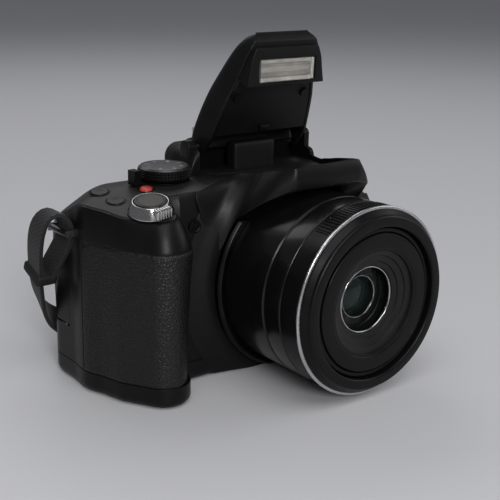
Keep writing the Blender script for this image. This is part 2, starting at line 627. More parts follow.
# Body and grip joined: the larger reach of the two, with a rounded valley where they meet.
# Gives the points, their outward directions and the point where the rear wall starts.
def planOutline(cfg, count=900):
    a = np.linspace(-np.pi, np.pi, 7201)
    body = reachOf(tightOutline(bodyRounds), cfg["centre"], a)
    grip = reachOf(tightOutline(gripRounds), cfg["centre"], a)
    r = softMax(body, grip, cfg["fillet"])
    x, y = cfg["centre"]
    p = evenPoints(np.stack([x + r * np.cos(a), y + r * np.sin(a)], 1), count + 1)[:-1]

    def splitAt(p, otherSide):
        return np.argmin(np.abs(p[:, 1] - cfg["split"]) + 1000 * otherSide)

    p = np.roll(p, -splitAt(p, p[:, 0] > 0), axis=0)
    t = np.roll(p, -1, axis=0) - np.roll(p, 1, axis=0)
    t /= np.linalg.norm(t, axis=1, keepdims=True)
    return p, np.stack([t[:, 1], -t[:, 0]], 1), splitAt(p, p[:, 0] < 0)


outline, outward, rightSplit = planOutline(planSet)


# Top of the control deck: the lowest of a slanted plane, a level, a fall to the back and a cut rear corner
topShape = {"place": (-50.1, 5, 72), "slope": (0.14, 0.17), "level": 74.3, "levelSoft": 1.2,
            "back": (20, 74.2, 0.28), "corner": (-54.5, 18, 72.9, 0.55, 0.5), "soft": 3.0}


def deckPlane(x, y):
    px, py, pz = topShape["place"]
    sx, sy = topShape["slope"]
    return pz + sx * (x - px) + sy * (y - py)


def deckTop(x, y):
    backY, backZ, backFall = topShape["back"]
    cx, cy, cz, riseX, fallY = topShape["corner"]
    front = softMin(deckPlane(x, y), topShape["level"], topShape["levelSoft"])
    back = softMin(front, backZ - backFall * (y - backY), topShape["soft"])
    return softMin(back, cz + riseX * (x - cx) - fallY * (y - cy), topShape["soft"])


# How far the deck's edge stands in from the outline: most at the front of the grip, least at its outer side
pullSet = {"outer": ([-24.5, -18, -12, -6, 4, 12], [6.2, 5.4, 3.4, 2.7, 2.4, 1.0]), "outerTo": -46,
           "inner": ([-24.5, -16, -8], [6.2, 5.2, 4.5]), "fade": ([-33, -24], [1, 0.25]),
           "backFrom": 30, "back": 2.0, "window": 31}


def edgePull(p, cfg):
    outer = np.interp(p[:, 1], *cfg["outer"])
    inner = np.interp(p[:, 1], *cfg["inner"]) * np.interp(p[:, 0], *cfg["fade"])
    pull = np.where(p[:, 0] < cfg["outerTo"], outer, inner)
    pull = np.where(p[:, 1] > cfg["backFrom"], cfg["back"], pull)
    window = cfg["window"]
    half = window // 2
    pull = np.convolve(np.concatenate([pull[-half:], pull, pull[:half]]), np.ones(window) / window, "valid")
    return np.where(p[:, 0] < planSet["deckEdge"], pull, 0.0)


deckPull = edgePull(outline, pullSet)

# Finger waist of the grip: the side toward the lens leans in below and out above
waistSet = {"toX": -30, "fromY": -8.5, "fade": 4, "in": ([8, 28, 46, 56, 70], [2.3, 1.7, 0.5, -0.5, -0.4])}


def gripWaist(p, n, z):
    fade = np.clip((waistSet["fromY"] - p[:, 1]) / waistSet["fade"], 0, 1)
    side = np.clip(n[:, 0], 0, 1) * (p[:, 0] < waistSet["toX"]) * fade
    return side[None, :] * np.interp(z, *waistSet["in"])


# Points of a wall from the outline, how far they stand in, and their heights
def wallGrid(p, n, inset, z):
    return np.concatenate([p[None] - n[None] * inset[..., None], z[..., None]], -1)


# A wall on part of the outline: drawn in by the pull near the top, with lips at both edges
def shellGrid(p, n, low, top, pull, extra, rows=64):
    v = np.concatenate([[0, 0, 0.003], np.linspace(0.012, 0.988, rows), [0.997, 1, 1]])[:, None]
    lip = np.concatenate([[1.6, 0.2, 0], np.zeros(rows), [0, 0.2, 1.6]])[:, None]
    z = low + (top - low) * v
    t = np.clip((z - planSet["turnIn"]) / np.maximum(top - planSet["turnIn"], 1), 0, 1)
    inset = pull * (0.55 * t + 0.45 * (1 - np.sqrt(1 - 0.998 * t ** 2))) + lip + extra(p, n, z)
    return wallGrid(p, n, inset, z)


# The front corner on the lens side falls away: starts and spans in x, y and height, and how far
cornerSet = {"x": (40, 25), "y": (12, -20), "z": (44, 18), "down": 5.5}


def sinkCorner(p):
    start, span = np.array([cornerSet[key] for key in "xyz"], float).T
    s, t, h = np.moveaxis(np.clip((p - start) / span, 0, 1), -1, 0)
    down = cornerSet["down"] * smoothStep(s) * smoothStep(t) * h
    return p - down[..., None] * [0, 0, 1]


rubberSet = {"low": 8.5, "top": 57.5, "proud": 0.35, "corner": 6.0, "leftX": -60, "leftY": 9.0,
             "rightX": (-40, -30), "rightY": -8.4, "seat": 0.55, "seatEdge": 0.4}
rearSet = {"thumbX": -56.1, "thumbWide": 4.6, "thumbHigh": 3.3, "thumbZ": (30, 56.5), "thumbSoft": 1.6,
           "thumbFromY": 30, "pocketX": -50, "pocketY": (19.9, 31.2), "pocketZ": (22, 52), "pocketDeep": 1.75}


# The stretch of the outline that the rubber covers
def rubberRange(cfg):
    front = np.arange(rightSplit + 1)
    p = outline[front]
    x0, x1 = cfg["rightX"]
    first = front[(p[:, 0] < cfg["leftX"]) & (p[:, 1] < cfg["leftY"])][0]
    last = front[(p[:, 0] > x0) & (p[:, 0] < x1) & (p[:, 1] < cfg["rightY"])][-1]
    return np.arange(first, last + 1)


# A shell on part of the outline, up to the deck's edge on the grip and to the seam elsewhere
def partShell(at, extra):
    p, n, pull = outline[at], outward[at], deckPull[at]
    inner = p - n * pull[:, None]
    onGrip = p[:, 0] < planSet["deckEdge"]
    deckEnd = deckTop(inner[:, 0], inner[:, 1]) - planSet["deckGap"]
    top = np.where(onGrip, deckEnd, planSet["seam"] - planSet["gap"])
    return shellGrid(p, n, planSet["base"] + 0.12, top, pull, extra)


# Front wall, with a seat for the rubber
def addFront(cfg, rubber):
    front = np.arange(rightSplit + 1)
    covered = np.isin(front, rubber)[None, :]

    def extra(p, n, z):
        seat = covered & (z > cfg["low"] + cfg["seatEdge"]) & (z < cfg["top"] - cfg["seatEdge"])
        return gripWaist(p, n, z) + cfg["seat"] * seat

    addPiece("frontShell", [(sinkCorner(partShell(front, extra)), False)], *bodySkin, inside=(-10, 12, 35),
             replaces=("front_cover",))


# Rubber: the same wall a little proud, its edge sunk and its upper corner at the side rounded
def addRubber(cfg, rubber):
    p, n = outline[rubber], outward[rubber]
    run = lengthsOf(p)
    c = cfg["corner"]
    near = np.clip(c - run, 0, c)
    top = cfg["top"] - (c - np.sqrt(np.maximum(c * c - near * near, 0)))
    v = np.concatenate([[0, 0, 0.006, 0.014], np.linspace(0.03, 0.97, 48), [0.986, 0.994, 1, 1]])[:, None]
    sink = np.concatenate([[1.0, 0.25, 0.08, 0], np.zeros(48), [0, 0.08, 0.25, 1.0]])[:, None]
    ends = np.minimum(run, run[-1] - run)[None, :]
    sink = np.maximum(sink, np.interp(ends, [0, 0.3, 0.9], [1.0, 0.3, 0.0]))
    z = cfg["low"] + (top - cfg["low"]) * v
    inset = gripWaist(p, n, z) + sink - cfg["proud"] * (sink < 0.9) * (1 - sink)
    addPiece("gripRubberSkin", [(wallGrid(p, n, inset, z), False)], "camera_body", "grip_rubber", gripRubber,
             inside=(-50, -2, 35), replaces=("grip_rubber",))


# Rear wall with the thumb rest, a bell across and soft steps in height, and the pocket of the terminal door
def addRear(cfg):
    back = np.concatenate([np.arange(rightSplit, len(outline)), [0]])

    def softRise(z, start):
        return 1 / (1 + np.exp(-(z - start) / cfg["thumbSoft"]))

    def extra(p, n, z):
        thumb = np.exp(-((p[:, 0] - cfg["thumbX"]) / cfg["thumbWide"]) ** 2)
        thumb = thumb * (p[:, 1] > cfg["thumbFromY"])
        high = softRise(z, cfg["thumbZ"][0]) - softRise(z, cfg["thumbZ"][1])
        y0, y1 = cfg["pocketY"]
        z0, z1 = cfg["pocketZ"]
        across = (p[:, 0] < cfg["pocketX"]) & (p[:, 1] > y0) & (p[:, 1] < y1)
        return -cfg["thumbHigh"] * thumb * high + cfg["pocketDeep"] * (across & (z > z0) & (z < z1))

    addPiece("rearShell", [(partShell(back, extra), False)], *bodySkin, inside=(0, 20, 35),
             replaces=("rear_cover",))


rubberPart = rubberRange(rubberSet)
addFront(rubberSet, rubberPart)
addRubber(rubberSet, rubberPart)
addRear(rearSet)
print("shells and rubber made")


# Base: the outline's wall down to a rounded edge, then a plate with its openings.
# The edge is tighter in the corner between grip and body, beside the door.
baseSet = {"round": 3.0, "tight": (-39.0, -9.0, 10.0), "least": 0.33, "deep": 2.2,
           "door": (-55.6, -40.1, -13.0, 16.0), "tripod": (16.7, 16.0, 5.6),
           "screws": [(-20.1, 30.0, 2.1), (48.0, 30.0, 2.1), (50.0, 2.0, 2.1), (-24.1, 2.0, 2.1)]}


# A flat mesh inside the first loop and outside the others
def flatPlate(loops):
    curve = bpy.data.curves.new("basePlate", "CURVE")
    curve.dimensions = "2D"
    curve.fill_mode = "BOTH"
    for loop in loops:
        line = curve.splines.new("POLY")
        line.points.add(len(loop) - 1)
        ends = np.tile([0.0, 1.0], (len(loop), 1))
        line.points.foreach_set("co", np.hstack([loop, ends]).ravel())
        line.use_cyclic_u = True
    holder = bpy.data.objects.new("basePlate", curve)
    plate = bpy.data.meshes.new_from_object(holder)
    bpy.data.objects.remove(holder)
    bpy.data.curves.remove(curve)
    return plate


def addBase(cfg):
    turn = np.linspace(0, np.pi / 2, 8)[:, None]
    tightX, tightY, reach = cfg["tight"]
    near = np.hypot(outline[:, 0] - tightX, outline[:, 1] - tightY) / reach
    edge = cfg["round"] * np.clip(near, cfg["least"], 1)
    same = np.ones((1, len(outline)))
    high = planSet["base"]
    inset = np.vstack([1.6 * same, 0.1 * same, 0 * same, 0 * same, edge * (1 - np.cos(turn))])
    z = np.vstack([high * same, high * same, (high - 0.1) * same, 5.0 * same, edge * (1 - np.sin(turn))])
    wall = wallGrid(outline, outward, inset, z)
    # Openings: the door's rectangle and circles for the socket and the screws
    x0, x1, y0, y1 = cfg["door"]
    a = np.linspace(0, 2 * np.pi, 48, endpoint=False)
    loops = [np.array([(x0, y0), (x1, y0), (x1, y1), (x0, y1)])]
    for x, y, r in (cfg["tripod"], *cfg["screws"]):
        loops.append(np.stack([x + r * np.cos(a), y + r * np.sin(a)], 1))
    plate = flatPlate([wall[-1, :, :2], *loops])
    sheets = [(wall, True)]
    for loop in loops[1:]:
        rings = [np.hstack([loop, np.full((len(loop), 1), level)]) for level in (0.0, cfg["deep"])]
        sheets.append((np.stack(rings), True))
    tray = addPiece("baseTray", sheets, *bodySkin, replaces=("bottom_cover",))
    plate.transform(Matrix.Diagonal((mm, mm, 0.0, 1.0)))
    bm = bmesh.new()
    bm.from_mesh(tray.data)
    bm.from_mesh(plate)
    bmesh.ops.remove_doubles(bm, verts=bm.verts, dist=mergeReach)
    bmesh.ops.recalc_face_normals(bm, faces=bm.faces)
    bm.to_mesh(tray.data)
    bm.free()
    bpy.data.meshes.remove(plate)
    print("base made")


addBase(baseSet)


# Control deck: the outline inside its edge, shrunk toward a centre in rings, each lifted to the deck's top
deckSet = {"centre": (-42.0, 8.0), "edge": 0.7, "skirt": 1.8, "gap": 0.12, "lip": 0.9, "count": 600}


# Rings shrunk toward a centre until they close
def closeOver(ring, centre, count):
    k = np.linspace(1, 0, count)[1:, None, None]
    return np.concatenate([ring, centre + (ring[-1] - centre) * k])


def addDeck(cfg):
    end = planSet["deckEdge"] - planSet["gap"]
    q = outline - outward * (deckPull + cfg["gap"])[:, None]
    keep = outline[:, 0] < end
    start = np.argmax(keep & ~np.roll(keep, 1))
    q = np.roll(q, -start, axis=0)[: keep.sum()]
    q = np.vstack([q, [end, q[-1, 1]], [end, q[0, 1]], q[:1]])
    q = evenPoints(q, cfg["count"] + 1)[:-1]
    c = np.asarray(cfg["centre"])
    away = (q - c) / np.linalg.norm(q - c, axis=1, keepdims=True)
    turn = np.linspace(0, np.pi / 2, 7)
    inset = np.concatenate([[cfg["lip"], 0.0], cfg["edge"] * (1 - np.cos(turn))])
    down = np.concatenate([[cfg["skirt"], cfg["skirt"]], cfg["edge"] * (1 - np.sin(turn))])
    ring = closeOver(q[None] - away[None] * inset[:, None, None], c, 46)
    down = np.concatenate([down, np.zeros(len(ring) - len(down))])
    z = deckTop(ring[..., 0], ring[..., 1]) - down[:, None]
    addPiece("deckPlate", [(np.concatenate([ring, z[..., None]], -1), True)], "camera_body", "body_plastic",
             deckPlastic, inside=(-42, 8, 40), replaces=("control_deck",))
    print("deck made")


addDeck(deckSet)


# Lens: profiles of (radius, forward) turned about the lens axis; domes as (radius, foot, height, points)
lensSet = {
    "barrel": [(33, 5), (35, 5), (35, 35.7), (34.35, 36.0), (34.35, 36.6), (35, 36.9), (35, 45.1),
               (34.5, 45.5), (33, 45.5)],
    "ribbed": [(33, 45.6), (34.5, 45.6), (35, 46.0), (35, 46.9), (35, 47.3), (35, 50), (35, 53.1), (35, 53.5),
               (35, 54.3), (33, 54.3)],
    "silver": [(33, 54.8), (35.6, 54.8), (35.6, 55.5), (35.3, 55.75), (33, 55.75)],
    "bezel": [(28.5, 55.4), (28.5, 58.6), (29.0, 59.1), (32.1, 59.1), (32.7, 58.5), (32.7, 57.9),
              (34.6, 56.1), (34.6, 55.4)],
    "middle": [(26.45, 13.1), (28.15, 13.1), (28.15, 56.7), (27.75, 57.1), (26.45, 57.1), (26.45, 13.1)],
    "inner": [(24.4, 13.1), (26.1, 13.1), (26.1, 56.4), (24.4, 56.4), (24.4, 13.1)],
    "face": [(24.3, 46.5), (24.3, 56.5), (26.0, 56.5), (26.0, 57.3), (25.7, 57.6), (20.6, 57.6),
             (20.3, 57.35), (19.6, 57.35)],
    "cone": [(19.4, 56.0), (17.4, 55.45), (17.2, 54.75), (15.0, 54.15), (14.8, 53.45), (13.0, 53.0),
             (12.8, 52.4)],
    "well": [(12.2, 52.2), (12.15, 51.6), (14.6, 50.9), (14.6, 48.0)],
    "glass": [(0, 49.0), (13.4, 49.0), (13.4, 51.7), (12.0, 51.8)],
    "frontEdge": [(12.0, 52.0), (12.1, 52.62), (12.35, 52.75), (12.65, 52.6), (12.7, 52.0)],
    "secondEdge": [(7.7, 48.2), (7.75, 48.6), (8.0, 48.75), (8.3, 48.6), (8.4, 48.2)],
    "baffle": [(14.4, 48.9), (11.6, 48.7), (11.4, 48.4), (7.8, 48.2), (7.6, 47.4), (7.6, 44)],
    "base": [(35.2, 11.6), (38.2, 11.6), (38.2, 13.0), (37.0, 14.2), (35.2, 14.2)],
    "collar": [(35.4, 10.6), (37.2, 11.4), (39.5, 11.5), (41.5, 11.2), (43.5, 10.4), (46, 9.3), (49, 8.2),
               (51, 7.4), (53, 6.2)],
    "frontDome": (12.0, 51.8, 2.2, 24), "secondDome": (7.7, 45.6, 1.8, 16), "bodySide": 64.3}
ribSet = {"high": 0.35, "count": 150, "from": 47.1, "to": 53.3, "part": 0.8}


# Ribs of the ring: a clipped wave by angle, only at the top and the bottom of the ring
def ringRibs(forward, angle):
    wave = np.clip(0.5 + 1.2 * np.cos(ribSet["count"] * angle), 0, 1)
    along = (forward > ribSet["from"]) & (forward < ribSet["to"])
    return ribSet["high"] * wave * (np.abs(np.sin(angle)) > ribSet["part"]) * along


# A dome: a parabola from its rim to its top
def domeProfile(radius, foot, height, count):
    s = np.linspace(1, 0, count)
    return np.stack([radius * s, foot + height * (1 - s ** 2)], 1)


# A profile turned about the lens axis, held inside the body's side and between two heights
def heldTurn(p, side, low, high):
    a = np.linspace(0, 2 * np.pi, 257)
    r = p[:, :1] + 0 * a
    x = np.minimum(lensX + r * np.cos(a), side)
    z = np.clip(lensZ + r * np.sin(a), low, high)
    return np.stack([x, np.broadcast_to(-p[:, 1:], r.shape), z], -1)


def addLens(cfg):
    fixed = [("barrelTube", "barrel", 0.3, barrelGloss, "barrel_gloss", 256, None, "lens_barrel"),
             ("ribbedTurn", "ribbed", 0.2, satinBlack, "satin_black", 1800, ringRibs, "ribbed_ring"),
             ("silverBand", "silver", 0.25, silverTrim, "silver_trim", 256, None, "silver_ring"),
             ("bezelFace", "bezel", 0.35, satinBlack, "satin_black", 256, None, "front_bezel")]
    for name, key, soft, mat, slotName, segs, wave, node in fixed:
        grid = lensTurn(softCorners(cfg[key], soft), segs, wave)
        addPiece(name, [(grid, True)], "camera_body", slotName, mat, inside=(lensX, -30, lensZ),
                 replaces=(node,))
    mid = lensTurn(softCorners(cfg["middle"], 0.3), 224)
    addPiece("middleTube", [(mid, True)], "zoom_middle", "satin_black", satinBlack, replaces=("mid_tube",))
    inner = lensTurn(softCorners(cfg["inner"], 0.25), 224)
    addPiece("innerTube", [(inner, True)], *innerSatin, replaces=("inner_tube",))
    # Front ring: a flat face, then a cone of three broad steps down to the glass
    ringInside = (lensX, -47, lensZ + 22)
    face = lensTurn(softCorners(cfg["face"], 0.2), 224)
    addPiece("frontRing", [(face, True)], *innerSatin, crease=30, inside=ringInside, replaces=("name_ring",))
    cone = np.vstack([cfg["face"][-1:], softCorners(cfg["cone"], 0.12), cfg["well"]])
    addPiece("frontCone", [(lensTurn(cone, 224), True)], "zoom_inner", "satin_black", coneBlack, crease=30,
             inside=ringInside)
    # Front glass: a dome over a flat back
    glass = np.vstack([cfg["glass"], domeProfile(*cfg["frontDome"])[1:]])
    addPiece("frontGlass", [(lensTurn(glass, 160), True)], "zoom_inner", "lens_glass", lensGlass, crease=50,
             replaces=("front_element",))
    # Bright edges: a thin ring around the front glass, another around the second element
    sheets = [(lensTurn(cfg["frontEdge"], 160), True), (lensTurn(cfg["secondEdge"], 128), True)]
    addPiece("glassEdges", sheets, "zoom_inner", "chrome_trim", chromeTrim, crease=60,
             inside=(lensX, -43, lensZ))
    # Inside: stepped baffles around a second element
    addPiece("baffles", [(lensTurn(cfg["baffle"], 128), True)], "zoom_inner", "satin_black", bowlBlack,
             crease=25)
    second = lensTurn(domeProfile(*cfg["secondDome"]), 96)
    addPiece("secondGlass", [(second, True)], "zoom_inner", "lens_glass", secondGlass,
             inside=(lensX, -30, lensZ))
    # Ring at the foot of the barrel, between the base and the top cover's seam
    foot = heldTurn(softCorners(cfg["base"], 0.4), cfg["bodySide"], 0.45, 61.9)
    addPiece("barrelFoot", [(foot, False)], "camera_body", "dark_metal", footMetal,
             inside=(lensX, -10, lensZ), replaces=("lens_base_ring",))
    # Collar: a soft ridge around the lens that falls to the front face
    collar = sinkCorner(heldTurn(splineThrough(cfg["collar"], 40), cfg["bodySide"], 0.5, 66))
    addPiece("lensCollar", [(collar, False)], *bodySkin, inside=(lensX, 20, lensZ))
    print("lens made")


addLens(lensSet)


# Hood over the lens and the well of the flash: the skin hangs from its rim to its foot.
# Pairs of foot and rim run from the back along the side to the middle of the front.
hoodSet = {
    "edges": [((34.6, 15, 73.6), (28.8, 15, 76.2)), ((34.7, 5, 73.6), (27.2, 5, 75.6)),
              ((37.6, -2.5, 73.5), (25.6, 0, 76.6)), ((43.0, -6.6, 72.8), (24.4, -3.5, 77.3)),
              ((42.8, -8.5, 67.6), (23.4, -6, 77.8)), ((41.0, -8.8, 61.0), (22.4, -8, 78.3)),
              ((40.6, -9.0, 55.0), (21.4, -10, 78.8)), ((38.8, -9.8, 50.6), (20.6, -11.8, 79.2)),
              ((36.2, -11.4, 50.6), (20.0, -13.2, 79.5)), ((34.2, -12.4, 55.0), (19.4, -15, 79.9)),
              ((30.6, -13.2, 62.2), (18.8, -17, 80.4)), ((28.4, -18.5, 66.4), (18.6, -21, 81.2)),
              ((25.0, -23.3, 70.4), (17.9, -24.5, 81.8)), ((19.5, -27.6, 73.5), (16.5, -27.6, 82.3)),
              ((15.4, -30.0, 75.0), (15.3, -29.2, 82.4))],
    "front": [((12.6, -30.5, 75.2), (12.6, -29.5, 82.8)), ((6.0, -30.7, 75.1), (6.0, -29.7, 82.8)),
              ((0.0, -30.8, 75.0), (0.0, -29.8, 82.8))],
    "rightEdges": [((34.2, 15, 64.8), (28.8, 15, 76.2)), ((34.5, 5, 64.8), (27.2, 5, 75.6)),
                   ((34.7, -2.5, 64.6), (25.6, 0, 76.6)), ((34.3, -7.0, 64.0), (23.8, -5, 77.6)),
                   ((33.0, -10.5, 62.8), (21.0, -11, 79.1)), ((30.6, -13.2, 62.2), (18.8, -17, 80.4)),
                   ((28.6, -18.5, 66.4), (18.7, -21, 81.0)), ((25.6, -23.8, 70.4), (18.1, -24.5, 81.6)),
                   ((21.8, -28.4, 73.0), (17.2, -27.8, 82.0)), ((16.4, -30.2, 74.8), (16.0, -29.2, 82.3))],
    "count": 190, "middleY": 4.0, "bulge": [(0.33, 0.10), (0.75, 0.08)], "wall": 0.7, "floor": 74.0,
    "roll": 0.9, "under": 35.7, "nearBarrel": (46, 3), "runBack": 9, "backTo": -11.5, "tuck": 2.2,
    "wellBack": 25.2}


# Half a pair of curves for each side of the lens axis, as one run from the left to the right
def bothSides(left, right, count):
    p = splineThrough(np.reshape(left, (-1, 6)), count)
    q = splineThrough(np.reshape(right, (-1, 6)), count)
    p = np.vstack([p * np.tile([-1, 1, 1], 2), q[::-1][1:]])
    return p[:, :3], p[:, 3:]


def addHood(cfg):
    foot, rim = bothSides([*cfg["edges"], *cfg["front"]], [*cfg["rightEdges"], *cfg["front"]], cfg["count"])
    # Directions: away from the middle of the top, level
    out = rim[:, :2] - np.array([0.0, cfg["middleY"]])
    out[:, 1] = np.minimum(out[:, 1], 0.0) - 0.001
    out = out / np.linalg.norm(out, axis=1, keepdims=True)
    lean = np.concatenate([out, 0 * out[:, :1]], 1)
    up = np.array([0.0, 0.0, 1.0])
    # The skin is a cubic from foot to rim that bulges outward
    span = np.linalg.norm(rim - foot, axis=1, keepdims=True)
    c1, c2 = (foot + (rim - foot) * at + lean * by * span for at, by in cfg["bulge"])
    u = np.linspace(0, 1, 26)[:, None, None]
    outer = (1 - u) ** 3 * foot + 3 * (1 - u) ** 2 * u * c1 + 3 * (1 - u) * u ** 2 * c2 + u ** 3 * rim
    # Over the rounded rim, in by the wall, then down to the floor of the well
    w = cfg["wall"]
    turn = np.linspace(0, np.pi, 9)[1:, None, None]
    rimTop = rim - lean * w / 2 + lean * w / 2 * np.cos(turn) + up * w / 2 * np.sin(turn)
    v = np.linspace(0, 1, 8)[1:, None, None]
    inner = rimTop[-1]
    floorEdge = np.concatenate([inner[:, :2], np.full((len(inner), 1), cfg["floor"])], 1)
    wall = inner + (floorEdge - inner) * v
    # At the foot the skin rolls in, then runs back to the barrel where it is near
    skin = (c1 - foot) / np.linalg.norm(c1 - foot, axis=1, keepdims=True)
    turn = np.linspace(np.pi / 2, 0, 6)[:-1, None, None]
    roll = foot - cfg["roll"] * (skin * np.sin(turn) + lean * (1 - np.cos(turn)))
    reach = np.hypot(foot[:, 0], foot[:, 2] - lensZ)[:, None]
    far, fade = cfg["nearBarrel"]
    near = np.clip((far - reach) / fade, 0, 1)
    back = np.maximum(foot[:, 1:2], np.minimum(foot[:, 1:2] + cfg["runBack"], cfg["backTo"]))
    middle = np.array([0, 0, lensZ])
    under = middle + (foot - middle) * [1, 0, 1] * cfg["under"] / reach + back * [0, 1, 0]
    under = under * near + (roll[0] - lean * cfg["tuck"]) * (1 - near)
    grid = np.concatenate([under[None], roll, outer, rimTop, wall]) + [lensX, 0, 0]
    addPiece("hoodSkin", [(sinkCorner(grid), False)], *bodySkin, inside=(lensX, 5, 70), crease=50)
    # Floor of the well between its two inner walls
    half = len(floorEdge) // 2 + 1
    a = floorEdge[:half]
    b = floorEdge[::-1][:half]
    s = np.linspace(0, 1, 30)[None, :, None]
    floor = a[:, None] * (1 - s) + b[:, None] * s
    back = floor[:1] * [1, 0, 1] + [0, cfg["wellBack"], 0]
    grid = np.concatenate([back, floor]) + [lensX, 0, 0]
    addPiece("flashWell", [(grid, False)], "camera_body", "body_plastic", wellPlastic, inside=(lensX, 0, 60))


addHood(hoodSet)


# Shoulder on the lens side: the outline's right part, rounded at the top, closed over and sloping to its side
shoulderSet = {"centre": (22.0, 14.0), "low": 62.1, "edge": 65.7, "round": 2.4, "count": 500,
               "slopeX": (38, 27), "slope": 0.75}


def addShoulder(cfg):
    q = outline[outline[:, 0] > planSet["deckEdge"] + planSet["gap"]]
    start = np.argmax(np.linalg.norm(np.diff(q, axis=0), axis=1)) + 1
    q = np.roll(q, -start, axis=0)
    q = evenPoints(np.vstack([q, q[:1]]), cfg["count"] + 1)[:-1]
    c = np.array(cfg["centre"])
    away = (q - c) / np.linalg.norm(q - c, axis=1, keepdims=True)
    turn = np.linspace(0, np.pi / 2, 8)
    low = cfg["low"]
    inset = np.concatenate([[0.8, 0.1, 0.0], cfg["round"] * (1 - np.cos(turn))])
    z = np.concatenate([[low, low, low + 0.2], cfg["edge"] + cfg["round"] * np.sin(turn)])
    ring = closeOver(q[None] - away[None] * inset[:, None, None], c, 12)
    z = np.concatenate([z, np.full(len(ring) - len(z), z[-1])])[:, None]
    fromX, span = cfg["slopeX"]
    fall = cfg["slope"] * smoothStep(np.clip((ring[..., 0] - fromX) / span, 0, 1))
    z = low + (z - low) * (1 - fall)
    grid = np.concatenate([ring, z[..., None]], -1)
    addPiece("topShoulder", [(sinkCorner(grid), True)], *bodySkin, inside=(22, 14, 62),
             replaces=("top_cover",))


addShoulder(shoulderSet)


# Eyepiece block and hump: half-widths, heights and depths of their sections; rounds are (x, z, radius)
blockSet = {"axis": 70.5, "half": 33.0, "top": 74.0, "front": 25.5, "back": 42, "seam": 62.1, "soft": 2.5,
            "edge": 1.5, "frontRound": (22.0, 75.0, 11.0), "lensRound": 19.6, "rearRound": (11.0, 74.4, 8.0),
            "hole": (18.0, 12.0, 2.0), "holeY": [33, 42.8, 43]}
# Ears beside the flash: name, side, middle of the round, top, and the lug's length and radius
earSet = {"ears": [("earGripSide", -1, 22.0, 90.0, 3.85, 3.1), ("earLensSide", 1, 19.6, 79.0, 2.7, 2.4)],
          "inner": 27.75, "low": 62.3, "lugX": 27.7, "pinY": 18, "pinZ": 84, "lugLow": 74,
          "backY": 25.6, "frontY": 12.0, "roundY": 5.0, "midZ": 70.0}
# Blocks at the flash's hinge and beside the deck: two corners and an edge radius
joinSet = {"hinge": ((6.5, 13.6, 72), (26.9, 19.7, 84.5), 1.3),
           "deck": ((-17.9, -2, 62.2), (-15.6, 42.4, 73.8), 0.6)}


# Reach of a rounded rectangle from its centre, by angle
def frameReach(width, height, radius, angles):
    x, y = width / 2 - radius, height / 2 - radius
    rounds = [[i * x, j * y, radius] for i in (-1, 1) for j in (-1, 1)]
    return reachOf(tightOutline(np.array(rounds)), (0, 0), angles)


# Rings about an axis along Y: reaches by angle at places along it
def reachGrid(x, z, reach, angles, along):
    y = np.broadcast_to(np.asarray(along)[:, None], reach.shape)
    return np.stack([x + reach * np.cos(angles), y, z + reach * np.sin(angles)], -1)


# Eyepiece block: the larger of a low block and a hump that narrows to the rear, by angle about the eyepiece
def addFinder(cfg):
    fine = np.linspace(-0.25, 0.25, 120)
    half = np.abs(fine[:60])
    a = np.sort(np.concatenate([np.linspace(-np.pi, np.pi, 361)[:-1], fine, np.pi - half, half - np.pi]))
    a = a[np.concatenate([[True], np.diff(a) > 1e-4])]
    axis = cfg["axis"]
    sides = [[s * (cfg["half"] - 1), z, 1] for s in (-1, 1) for z in (cfg["seam"] + 1, cfg["top"] - 1)]
    low = reachOf(tightOutline(np.array(sides)), (0, axis), a)

    def humpReach(grip, lens, z, r):
        return reachOf(tightOutline(np.array([[lens, z, r], [-grip, z, r]])), (0, axis), a)

    cx, cz, cr = cfg["frontRound"]
    rx, rz, rr = cfg["rearRound"]
    front, rear = humpReach(cx, cfg["lensRound"], cz, cr), humpReach(rx, rx, rz, rr)
    hole = frameReach(*cfg["hole"], a)
    back, end = cfg["back"], cfg["front"] - 0.3
    y = np.concatenate([np.linspace(back, cfg["front"], 12), [end]])
    t = np.clip((back - y) / (back - cfg["front"]), 0, 1)[:, None]
    body = softMax(low[None], rear + (front - rear) * t, cfg["soft"])
    edge = softMax(low, rear, cfg["soft"]) - cfg["edge"]
    turn = np.linspace(0, np.pi / 2, 7)[:-1, None]
    rows = np.concatenate([[hole, hole, hole + 0.3], edge + cfg["edge"] * np.sin(turn), body, [0 * hole]])
    at = np.concatenate([cfg["holeY"], back - 0.5 + cfg["edge"] * np.cos(turn[:, 0]), y, [end]])
    addPiece("finderBlock", [(reachGrid(lensX, axis, rows, a, at), True)], *bodySkin, crease=45,
             inside=(lensX, 38, axis + 9))


